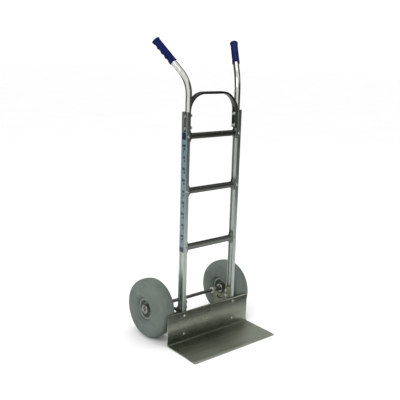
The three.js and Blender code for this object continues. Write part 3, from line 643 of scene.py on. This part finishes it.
def grip(label, side):
    """A closed sleeve: plain collar, finger hollows underneath, fine ribs on top, flange and end wall."""
    line, ahead, under = handle_line(side)
    start = line[-1] + ahead * (0.3 - GRIP_LENGTH + GRIP_END_WALL)
    rows, sides = 116, 64
    first = (GRIP_LENGTH - (FINGERS - 1) * FINGER_PITCH) / 2
    bore = TUBE_RADIUS + 0.15
    build = bmesh.new()
    outline = []
    for k in range(rows + 1):
        s = 1.0 + (GRIP_LENGTH - 2.0) * k / rows
        if s < 7:
            r = COLLAR_RADIUS - 0.6 * max(0.0, (s - 5) / 2)
        elif s > GRIP_LENGTH - 8:
            r = GRIP_RADIUS + FLANGE_RISE * min(1.0, (s - GRIP_LENGTH + 8) / 2.5) ** 0.7
            r -= 1.6 * max(0.0, (s - GRIP_LENGTH + 3.0) / 2.0) ** 2
        else:
            r = GRIP_RADIUS
        outline.append((r, s))
    outline = [(bore, GRIP_LENGTH - GRIP_END_WALL), (bore, 0), (15.4, 0), (16.1, 0.3)] + outline
    outline += [(14.0, GRIP_LENGTH), (4.0, GRIP_LENGTH), (3.4, GRIP_LENGTH - 0.8), (0, GRIP_LENGTH - 0.9)]
    outline = [(0, GRIP_LENGTH - GRIP_END_WALL)] + outline

    def shape(angle, radius, s):
        if radius < 15 or not 8 < s < GRIP_LENGTH - 8:
            return 0.0
        toward = max(0.0, math.cos(angle - under_angle)) ** 0.8
        phase = (s - first) / FINGER_PITCH
        wave = math.cos(2 * math.pi * phase)
        inside = -0.5 < phase < FINGERS - 0.5
        hollow = -HOLLOW_DEPTH * (0.5 + 0.5 * wave) if inside else 0.0
        ridge = RIDGE_RISE * (0.5 - 0.5 * wave) ** 3 if inside else 0.0
        away = max(0.0, -math.cos(angle - under_angle)) ** 0.5
        rib = RIB_RISE * away * (0.5 + 0.5 * math.cos(2 * math.pi * s / RIB_PITCH)) ** 2
        return toward * (hollow + ridge) + rib

    reference = ahead.orthogonal().normalized()
    second = ahead.cross(reference)
    under_angle = math.atan2(under.dot(second), under.dot(reference))
    spun(build, outline, start, ahead, sides, shape)
    place(f"grip_{label}_look", build, GRIP, "frame", [f"grip_{label}"], angle=60)


for label, side in SIDES:
    handle_tube(label, side)
    grip(label, side)


# ---------------------------------------------------------------- nose plate
def nose_plate():
    """One sheet, bent up at the back, thinner toward its front edge, scribed along the top of its face."""
    low, high, _ = size("nose_plate")
    sheet, bend, taper, lip = 4.8, 7.0, 14.0, 2.2
    front, back, top = low.y, high.y, high.z
    outside = bend + sheet
    outline = [(front + 0.4, 0.3), (front + 1.0, 0.0)]
    outline += arc((back - outside, outside), outside, -90, 0, 10)
    outline += [(back, top - 0.6), (back - 0.6, top), (back - sheet + 0.6, top), (back - sheet, top - 0.6)]
    outline += [(back - sheet, top - 5.0), (back - sheet + 0.5, top - 5.6), (back - sheet + 0.5, top - 6.8),
                (back - sheet, top - 7.4)]
    outline += arc((back - outside, outside), bend, 0, -90, 10)
    outline += [(front + taper + 3, sheet), (front + taper - 3, sheet - 0.5), (front + 1.0, lip),
                (front + 0.2, lip - 0.6)]
    build = bmesh.new()
    sheet_solid(build, outline, Vector((low.x, 0, 0)), Y, Z, X, high.x - low.x)
    place("nose_plate_look", build, NOSE, "frame", ["nose_plate"], bevel=0.6, angle=60)


nose_plate()


# ---------------------------------------------------------------- axle brackets
# corners from the axle's centre: how far back, how far up
ARM_EDGE = [(-96, -96), (-61, -96), (-20, -57), (-12, -10), (0, -6), (0, 2), (-61, 2), (-81, 9), (-96, 13)]
SKIN_VOXEL = 1.15
ARM_WINDOW = [(-86, -11), (-61, -25), (-33, -24), (-37, -8), (-67, -4)]


def bracket(label, side):
    """A casting: pad and flange inside the rail, heel behind it, windowed arm in line with it, boss."""
    low, high, _ = size(f"axle_bracket_{label}")
    axle_at = size("axle")[2]
    wall, clearance = 9.0, 0.35
    flange_outer = rail_low.x - clearance
    flange_inner = flange_outer - wall + 0.1
    arm_inner, arm_outer = 133.2, 141.8
    heel_front, heel_back = rail_high.y + clearance, rail_high.y + 12.2
    heel_low, heel_high = low.z + 10.2, axle_at.z + 22.8
    flange_front, flange_back = CHANNEL_Y - 7.8, rail_high.y - 3.2
    edge = [Vector((axle_at.y + back, axle_at.z + up)) for back, up in ARM_EDGE]
    window = [Vector((axle_at.y + back, axle_at.z + up)) for back, up in ARM_WINDOW]
    build = bmesh.new()

    def slab(points, x0, x1):
        sheet_solid(build, points, Vector((side * x0, 0, 0)), Y, Z, X * side, x1 - x0)

    def rib(points, width, x0, x1):
        for start, end in zip(points, points[1:]):
            normal = Vector((start.y - end.y, end.x - start.x)).normalized() * width / 2
            slab([start - normal, end - normal, end + normal, start + normal], x0, x1)

    def plate(y0, y1, z0, z1, x0, x1):
        slab(rounded([(y0, z0), (y1, z0), (y1, z1), (y0, z1)], 4, 4), x0, x1)

    plate(flange_front, flange_back, low.z, high.z, flange_inner, flange_outer)
    plate(flange_back - 8, heel_back, heel_low, heel_high, flange_inner, flange_outer)
    plate(heel_front, heel_back, heel_low, heel_high, flange_inner, arm_outer)
    # the arm's thin middle, below and above the window, with a small overlap between the two
    thin = (arm_inner + 2.2, arm_outer - 2.2)
    seam, overlap = 85, 1
    slab([*edge[:4], window[2], window[1], window[0], edge[0] + Vector((0, seam + overlap))], *thin)
    slab([edge[0] + Vector((0, seam - overlap)), window[0], window[4], window[3], window[2], *edge[3:]],
         *thin)
    heart = Vector((axle_at.y - 50, axle_at.z - 30))
    inset = [point + (heart - point).normalized() * 2.6 for point in edge]
    rib(inset[0:4], 5.4, arm_inner, arm_outer)
    rib([point - Vector((0, 3)) for point in edge[5:]], 5.6, arm_inner, arm_outer)
    rib(window + window[:1], 3.2, arm_inner + 0.8, arm_outer - 0.8)
    tall = high.z - low.z
    pad = [(0, 0), (11.6, 0), (12.6, 1), (12.6, tall - 1), (11.6, tall), (0, tall)]
    spun(build, pad, Vector((side * CHANNEL_X, CHANNEL_Y, low.z)), Z, 32)
    boss_inner = 131.0
    length = rail_high.x - boss_inner
    boss = [(8.3, 0), (12.4, 0), (13.3, 1), (13.4, length - 1), (12.5, length), (8.3, length), (8.3, 0)]
    spun(build, boss, Vector((side * boss_inner, axle_at.y, axle_at.z)), X * side, 40)
    piece = place(f"axle_bracket_{label}_look", build, CASTING, "frame",
                  [f"axle_bracket_{label}"], angle=80)
    remesh = piece.modifiers.new("skin", "REMESH")
    remesh.mode = "VOXEL"
    remesh.voxel_size = SKIN_VOXEL * MM
    remesh.use_smooth_shade = True
    soften = piece.modifiers.new("soften", "SMOOTH")
    soften.factor = 0.5
    soften.iterations = 4
    thin_out = piece.modifiers.new("thin", "DECIMATE")
    thin_out.ratio = 0.35


for label, side in SIDES:
    bracket(label, side)


# ---------------------------------------------------------------- axle and its small parts
AXLE_RADIUS = 7.95


def axle():
    low, high, middle = size("axle")
    length, chamfer = high.x - low.x, 1.2
    outline = [(0, 0), (AXLE_RADIUS - chamfer, 0), (AXLE_RADIUS, chamfer), (AXLE_RADIUS, length - chamfer),
               (AXLE_RADIUS - chamfer, length), (0, length)]
    build = bmesh.new()
    spun(build, outline, Vector((low.x, middle.y, middle.z)), X, 48)
    place("axle_look", build, DULL, "frame", ["axle"], angle=30)


def sleeve(node, material, chamfer, groove=0.0):
    """A collar or washer on the axle, with two turned grooves if a depth is given."""
    low, high, middle = size(node)
    length, outer, bore = high.x - low.x, (high.z - low.z) / 2, AXLE_RADIUS + 0.25
    outline = [(bore, 0), (outer - chamfer, 0), (outer, chamfer)]
    if groove:
        for share in (0.3, 0.7):
            outline += [(outer, length * share - 1.4), (outer - groove, length * share - 0.9),
                        (outer - groove, length * share + 0.9), (outer, length * share + 1.4)]
    outline += [(outer, length - chamfer), (outer - chamfer, length), (bore, length), (bore, 0)]
    build = bmesh.new()
    spun(build, outline, Vector((low.x, middle.y, middle.z)), X, 48)
    place(f"{node}_look", build, material, "frame", [node], angle=30)


def split_pin(label):
    """A doubled wire with an eye above the axle and its two ends spread below."""
    low, high, middle = size(f"cotter_pin_{label}")
    wire, eye = 1.15, 4.2
    top, bottom = high.z - 1.0 - eye, low.z + 1.5
    wire_line = [(7.0, bottom + 2.5), (4.6, bottom + 0.8), (2.2, bottom + 3.0), (1.2, bottom + 7.0),
                 (1.15, top - 7.0), (1.3, top - 4.6)]
    wire_line += [(eye * math.cos(a), top + eye * math.sin(a))
                  for a in (math.radians(-42 + 264 * k / 16) for k in range(17))]
    wire_line += [(-1.3, top - 4.6), (-1.15, top - 7.0), (-1.2, bottom + 6.0), (-2.0, bottom + 1.6),
                  (-4.2, bottom - 0.6), (-6.6, bottom + 0.4)]
    centre = Vector((middle.x, size("axle")[2].y, 0))
    build = bmesh.new()
    swept(build, circle(wire, 12), [centre + Vector((0, y, z)) for y, z in wire_line], X)
    piece = place(f"cotter_pin_{label}_look", build, DULL, "frame", [f"cotter_pin_{label}"],
                  angle=60)
    smooth = piece.modifiers.new("round", "SUBSURF")
    smooth.levels = smooth.render_levels = 1


axle()
for label, side in SIDES:
    sleeve(f"axle_spacer_{label}", STEEL, 0.8, 0.9)
    sleeve(f"axle_washer_{label}", DULL, 0.4)
    split_pin(label)


# ---------------------------------------------------------------- bolts and nuts
def bolt(node, axis, radius, height, socket=False):
    """A domed bolt with a short collar and a threaded end. The axis points from the shank to the head."""
    _, high, middle = size(node)
    far = (high - middle).dot(Vector(map(abs, axis)))
    head_end = middle + axis * far
    tail = 2 * far
    shank, pitch, turns, collar = 3.85, 1.25, 7, 0.7
    outline = [(0, tail), (shank - 0.9, tail), (shank - 0.2, tail - 0.7)]
    for k in range(turns):
        base = tail - 0.9 - pitch * k
        outline += [(shank, base), (shank - 0.55, base - pitch / 2)]
    outline += [(shank, tail - 0.9 - pitch * turns), (shank, height), (radius, height),
                (radius, height - collar)]
    outline += [(radius * math.cos(a), (height - collar) * (1 - math.sin(a)))
                for a in (math.radians(9 * k) for k in range(1, 9))]
    if socket:
        outline += [(radius * 0.3, 0.05), (radius * 0.28, height * 0.45), (0, height * 0.5)]
    else:
        outline += [(0, 0)]
    build = bmesh.new()
    spun(build, outline, head_end, -axis, 28)
    place(f"{node}_look", build, ZINC, "frame", [node], angle=35)


def nut(node, axis):
    """A flanged hexagon nut with rounded corners. The axis points away from its seat."""
    _, high, middle = size(node)
    half = abs((high - middle).dot(axis))
    flats, flange, bore, sides = 6.2, 7.2, 4.0, 48
    start = middle - axis * half
    other = axis.cross(Z)
    angles = [2 * math.pi * k / sides for k in range(sides)]
    spokes = [Z * math.cos(angle) + other * math.sin(angle) for angle in angles]
    build = bmesh.new()
    # height above the seat, distance to the flats, and how round the hexagon is there
    levels = ((0, flange, 1.0), (1.1, flange, 1.0), (1.7, 6.4, 0.8), (1.8, flats, 0.0), (5.7, flats, 0.0),
              (6.4, flats, 0.7), (6.5, 5.4, 1.0))
    rings = []
    for height, reach, roundness in levels:
        ring = []
        for angle, spoke in zip(angles, spokes):
            corner = reach / math.cos((angle + math.pi / 6) % (math.pi / 3) - math.pi / 6)
            r = min(corner * (1 - roundness) + reach * 1.06 * roundness, flange)
            ring.append(build.verts.new(start + axis * height + spoke * r))
        rings.append(ring)
    for height, reach in ((6.5, bore + 0.6), (6.0, bore), (0, bore)):
        rings.append([build.verts.new(start + axis * height + spoke * reach) for spoke in spokes])
    for a, b in zip(rings, rings[1:] + rings[:1]):
        for k in range(sides):
            n = (k + 1) % sides
            build.faces.new((a[k], a[n], b[n], b[k]))
    place(f"{node}_look", build, ZINC, "frame", [node], angle=28)


for label, side in SIDES:
    for level in ("upper", "lower"):
        bolt(f"nose_bolt_{level}_{label}", -Y, 7.0, 4.6)
        for kind in ("handle", "bracket"):
            bolt(f"{kind}_bolt_{level}_{label}", X * side, 5.5, 2.4, socket=True)
            nut(f"{kind}_nut_{level}_{label}", X * -side)
    for level in ("top", "middle", "bottom"):
        bolt(f"crossbar_bolt_{level}_{label}", -Y, 6.0, 3.6)


# ---------------------------------------------------------------- wheels
def tyre(label):
    """A squared-off torus with a shallow groove on each shoulder and sidewall, closed at the bead."""
    low, high, middle = size(f"tyre_{label}")
    outer, half = (high.z - low.z) / 2, (high.x - low.x) / 2
    bead, seat, bead_face = 47.4, 42.4, 27.7
    centre = (outer + seat) / 2
    reach = outer - centre
    squareness, groove, pinch = 2.6, 0.5, 0.992
    power = 2 / squareness
    start = -math.asin(((centre - bead) / reach) ** (squareness / 2))
    outline = [(seat, -bead_face), (bead, -bead_face)]
    steps = 72
    for k in range(steps + 1):
        angle = start + (math.pi - 2 * start) * k / steps
        s, c = math.sin(angle), math.cos(angle)
        r = centre + reach * math.copysign(abs(s) ** power, s)
        x = -half * math.copysign(abs(c) ** power, c)
        on_shoulder = s > 0 and 0.60 < abs(x) / half < 0.66
        on_sidewall = 0.93 < abs(c) ** power and 0.15 < s < 0.22
        if on_shoulder:
            r -= groove
        if on_sidewall:
            x *= pinch
        outline.append((r, x))
    outline += [(bead, bead_face), (seat, bead_face)]
    outline.append(outline[0])
    build = bmesh.new()
    spun(build, outline, Vector((0, 0, 0)), X, 128)
    place(f"tyre_{label}_look", build, TYRE, f"wheel_{label}", [f"tyre_{label}"], at=middle, angle=50)


def rim(label, half_name, direction, centre):
    """One pressed half: a dished disc with four bolt heads, a barrel and a curled flange."""
    flange, barrel, width, sheet, bore = 46.8, 42.0, 30.5, 2.2, 20.3
    inside = barrel - sheet
    outline = [(bore, 0.2), (26, 0.2), (29, 1.0), (33, 4.4), (36, 6.0), (38.2, 8.5), (barrel - 1.2, 12.0),
               (barrel, 15.0), (barrel, width - 4.0), (barrel + 0.8, width - 2.7), (flange, width - 2.4),
               (flange, width - 0.6), (flange - 0.7, width), (inside + 1.0, width),
               (inside - 0.2, width - 1.4), (inside, 15.5), (inside - 1.2, 12.8), (36.4, 9.9), (34.6, 8.0),
               (31.6, 6.5), (28, 3.4), (25, 2.6), (bore, 2.6), (bore, 0.2)]
    build = bmesh.new()
    spun(build, outline, Vector((0, 0, 0)), X * direction, 72)
    head_circle, head_seat = 28.0, 2.4
    head = [(0, -0.6), (6.2, -0.6), (6.2, 0.3), (4.6, 0.4), (4.6, 1.4), (4.2, 3.0), (3.2, 3.9), (0, 4.0)]
    for k in range(4):
        angle = math.radians(45 + 90 * k)
        at = Vector((0, math.cos(angle), math.sin(angle))) * head_circle + X * direction * head_seat
        spun(build, head, at, X * direction, 18)
    place(f"rim_{half_name}_{label}_look", build, RIM, f"wheel_{label}",
          [f"rim_{half_name}_{label}"], at=centre, bevel=0.2, angle=40)


def hub(label, centre):
    """A tube with a bearing seat turned out at each end."""
    low, high, _ = size(f"hub_{label}")
    half, outer = (high.x - low.x) / 2, (high.z - low.z) / 2
    seat, shoulder, bore = 17.4, 24.6, 14.2
    outline = [(seat, -half), (outer - 1.2, -half), (outer - 0.2, 1.0 - half), (outer - 0.2, half - 1.0),
               (outer - 1.2, half), (seat, half), (seat, shoulder), (bore, shoulder), (bore, -shoulder),
               (seat, -shoulder), (seat, -half)]
    build = bmesh.new()
    spun(build, outline, Vector((0, 0, 0)), X, 56)
    place(f"hub_{label}_look", build, STEEL, f"wheel_{label}", [f"hub_{label}"], at=centre, angle=30)


def bearing(label, end, direction, centre):
    """Two steel races with a sunk rubber seal between them."""
    low, high, middle = size(f"bearing_{end}_{label}")
    length = high.x - low.x
    start = Vector(((middle.x - centre.x) - direction * length / 2, 0, 0))
    bore, outer, race, sunk = AXLE_RADIUS + 0.3, 17.1, 2.7, 0.8
    build = bmesh.new()
    outline = [(bore, 0), (outer - 0.5, 0), (outer, 0.5), (outer, length - 0.6), (outer - 0.6, length),
               (outer - 2.4, length), (outer - race, length - sunk), (bore + race, length - sunk),
               (bore + 2.4, length), (bore + 0.5, length), (bore, length - 0.5), (bore, 0)]
    spun(build, outline, start, X * direction, 48)
    build.faces.ensure_lookup_table()
    for face in build.faces:
        at = face.calc_center_median()
        on_floor = abs(abs(at.x - start.x) - length + sunk) < 0.05
        between = bore + 2.6 < math.hypot(at.y, at.z) < outer - 2.6
        face.material_index = 1 if on_floor and between else 0
    place(f"bearing_{end}_{label}_look", build, [STEEL, SEAL], f"wheel_{label}",
          [f"bearing_{end}_{label}"], at=centre, angle=30)


for label, side in SIDES:
    centre = size(f"tyre_{label}")[2]
    tyre(label)
    for end, direction in (("outer", side), ("inner", -side)):
        rim(label, end, direction, centre)
        bearing(label, end, direction, centre)
    hub(label, centre)


# ---------------------------------------------------------------- printed strip on the left rail
def label_strip():
    """A pale film with plain dark blocks on it."""
    low, high, _ = size("rail_label_left")
    top, bottom = high.z, low.z
    y0, y1 = low.y + 0.3, high.y - 0.3
    film_thick, ink_thick, margin, indent = 0.16, 0.22, 1.5, 4
    build = bmesh.new()

    def patch(a, b, c, d, proud, material):
        before = set(build.faces)
        sheet_solid(build, rounded([(a, c), (b, c), (b, d), (a, d)], 0.8, 2),
                    Vector((high.x, 0, 0)), Y, Z, -X, proud)
        for face in set(build.faces) - before:
            face.material_index = material

    patch(y0, y1, bottom, top, film_thick, 0)
    patch(y0 + margin, y1 - margin, top - 31, top - 2, ink_thick, 1)
    patch(y0 + margin, y1 - margin, bottom + 2, bottom + 23, ink_thick, 1)
    count, pitch = 9, 47.5
    for k in range(count):
        height = top - 60 - pitch * k
        wide = (20.0, 15.0, 18.0)[k % 3]
        patch(y0 + indent, y0 + indent + wide, height, height + 9.0, ink_thick, 1)
        patch(y0 + indent, y0 + indent + wide * 0.45, height - 14.0, height - 5.0, ink_thick, 1)
        if k % 4 == 0:
            patch(y0 + 16, y0 + 20, height - 26.0, height - 5.0, ink_thick, 1)
    place("rail_label_left_look", build, [FILM, INK], "frame", ["rail_label_left"], angle=40)


label_strip()

# ---------------------------------------------------------------- floor, light and camera
middle = (CAD_LOW + CAD_HIGH) / 2
FLOOR_GAP, FLOOR_RADIUS, WORLD_STRENGTH, SENSOR_WIDTH = 0.0004, 40.0, 1.06, 36.0
CARD_SHADE = 0.05


def floor():
    build = bmesh.new()
    bmesh.ops.create_circle(build, cap_ends=True, radius=FLOOR_RADIUS, segments=96)
    mesh = bpy.data.meshes.new("floor")
    build.to_mesh(mesh)
    build.free()
    paint = Paint("floor_paint", Roughness=0.75)
    cloud = paint.span(paint.noise(1.5, 3.0), 0.3, 0.7)
    paint.colour(paint.mix(cloud, (0.94, 0.94, 0.94, 1), (0.92, 0.92, 0.92, 1)))
    mesh.materials.append(paint.material)
    ground = bpy.data.objects.new("floor", mesh)
    ground.location = (middle.x, middle.y, CAD_LOW.z - FLOOR_GAP)
    bpy.context.scene.collection.objects.link(ground)


def lamp(name, at, aim, width, height, watts):
    data = bpy.data.lights.new(name, "AREA")
    data.shape = "RECTANGLE"
    data.size, data.size_y = width, height
    data.energy = watts
    lit = bpy.data.objects.new(name, data)
    lit.location = at
    lit.rotation_euler = (Vector(aim) - Vector(at)).to_track_quat("-Z", "Y").to_euler()
    bpy.context.scene.collection.objects.link(lit)


def flag(name, at, aim, width, height, shade):
    """A dark card that the metal mirrors. The camera doesn't see it and it casts no shadow."""
    build = bmesh.new()
    bmesh.ops.create_grid(build, x_segments=1, y_segments=1, size=0.5)
    mesh = bpy.data.meshes.new(name)
    build.to_mesh(mesh)
    build.free()
    paint = Paint(name + "_paint", Roughness=0.9)
    paint.colour((shade, shade, shade, 1))
    mesh.materials.append(paint.material)
    card = bpy.data.objects.new(name, mesh)
    card.scale = (width, height, 1)
    card.location = at
    card.rotation_euler = (Vector(aim) - Vector(at)).to_track_quat("Z", "Y").to_euler()
    card.visible_camera = False
    card.visible_diffuse = False
    card.visible_shadow = False
    bpy.context.scene.collection.objects.link(card)


floor()
world = bpy.data.worlds.new("studio")
world.use_nodes = True
world.node_tree.nodes["Background"].inputs["Color"].default_value = (1, 1, 1, 1)
world.node_tree.nodes["Background"].inputs["Strength"].default_value = WORLD_STRENGTH
bpy.context.scene.world = world
bpy.context.scene.view_settings.view_transform = "Standard"

lamp("key", (-2.4, -1.0, 2.8), (0, 0, 0.6), 1.6, 1.6, 30)
lamp("top", (0.4, 0.6, 3.4), (0, 0, 0.4), 2.0, 2.0, 20)
flag("front_flag", (1.25, -1.75, 1.1), (0.1, -0.1, 1.1), 3.4, 2.2, CARD_SHADE)
flag("back_flag", (1.23, 1.45, 1.9), (0, 0, 1.7), 5.6, 2.6, CARD_SHADE)
flag("left_flag", (-0.59, 1.38, 1.87), (0, 0, 1.87), 3.2, 2.85, CARD_SHADE)
flag("right_flag", (1.49, -0.13, 1.87), (0, 0, 1.87), 2.0, 2.85, CARD_SHADE)
flag("nose_flag", (0.06, -0.30, 0.001), (0.06, -0.30, 1.0), 0.6, 0.24, 0.03)

CAMERA_AZIMUTH, CAMERA_ELEVATION, CAMERA_ROLL = -39.72, 13.56, 1.74
CAMERA_DISTANCE, CAMERA_LENS = 2.5763, 55.48
CAMERA_TARGET = Vector((-0.0735, -0.042, 0.62535))


def camera():
    a, e = math.radians(CAMERA_AZIMUTH), math.radians(CAMERA_ELEVATION)
    back = Vector((math.sin(a) * math.cos(e), -math.cos(a) * math.cos(e), math.sin(e)))
    right = Z.cross(back).normalized()
    up = back.cross(right)
    roll = math.radians(CAMERA_ROLL)
    right, up = right * math.cos(roll) + up * math.sin(roll), up * math.cos(roll) - right * math.sin(roll)
    data = bpy.data.cameras.new("camera")
    data.lens, data.sensor_width = CAMERA_LENS, SENSOR_WIDTH
    data.clip_start, data.clip_end = 0.05, 200.0
    seen = bpy.data.objects.new("camera", data)
    seen.matrix_world = Matrix.Translation(CAMERA_TARGET + back * CAMERA_DISTANCE) @ Matrix(
        (right, up, back)).transposed().to_4x4()
    bpy.context.scene.collection.objects.link(seen)
    bpy.context.scene.camera = seen


camera()
bpy.context.view_layer.update()
